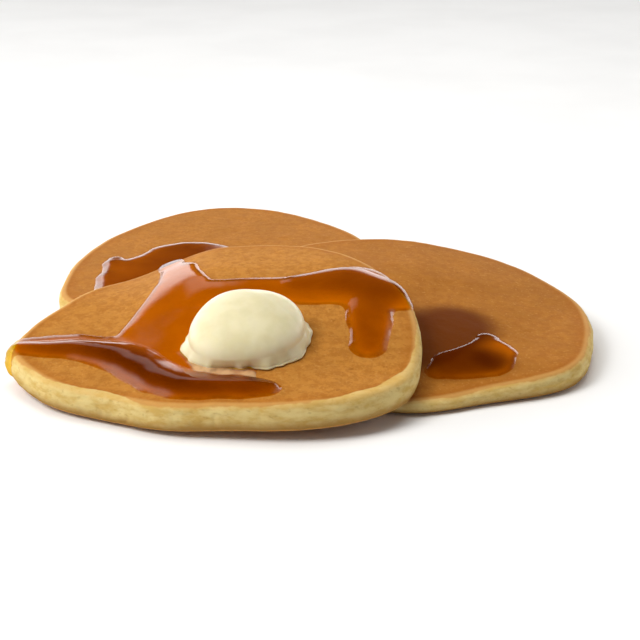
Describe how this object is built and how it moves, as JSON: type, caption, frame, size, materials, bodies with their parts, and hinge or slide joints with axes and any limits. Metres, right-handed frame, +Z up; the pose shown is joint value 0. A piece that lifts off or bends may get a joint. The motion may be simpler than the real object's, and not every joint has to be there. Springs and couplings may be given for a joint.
{
  "type": "pancake stack",
  "caption": "Overlapping griddle pancakes that sag over one another, with a scoop of butter on the front one and amber syrup in pools on top.",
  "frame": {"origin": "on the surface the stack lies on, under the middle of its bounding box", "axes": "+Z up; +Y towards the back, along the longest side of the stack; +X towards the pancake on the right"},
  "size_m": [0.1896, 0.2192, 0.0313],
  "materials": {
    "pancake": "browned crust above and below, pale porous crumb round the rim",
    "butter": "soft, slightly melted",
    "syrup": "clear amber syrup, glossy"
  },
  "bodies": {
    "root": {"pancake_back": "pancake", "pancake_right": "pancake", "pancake_front": "pancake", "butter": "butter"}
  },
  "joints": []
}
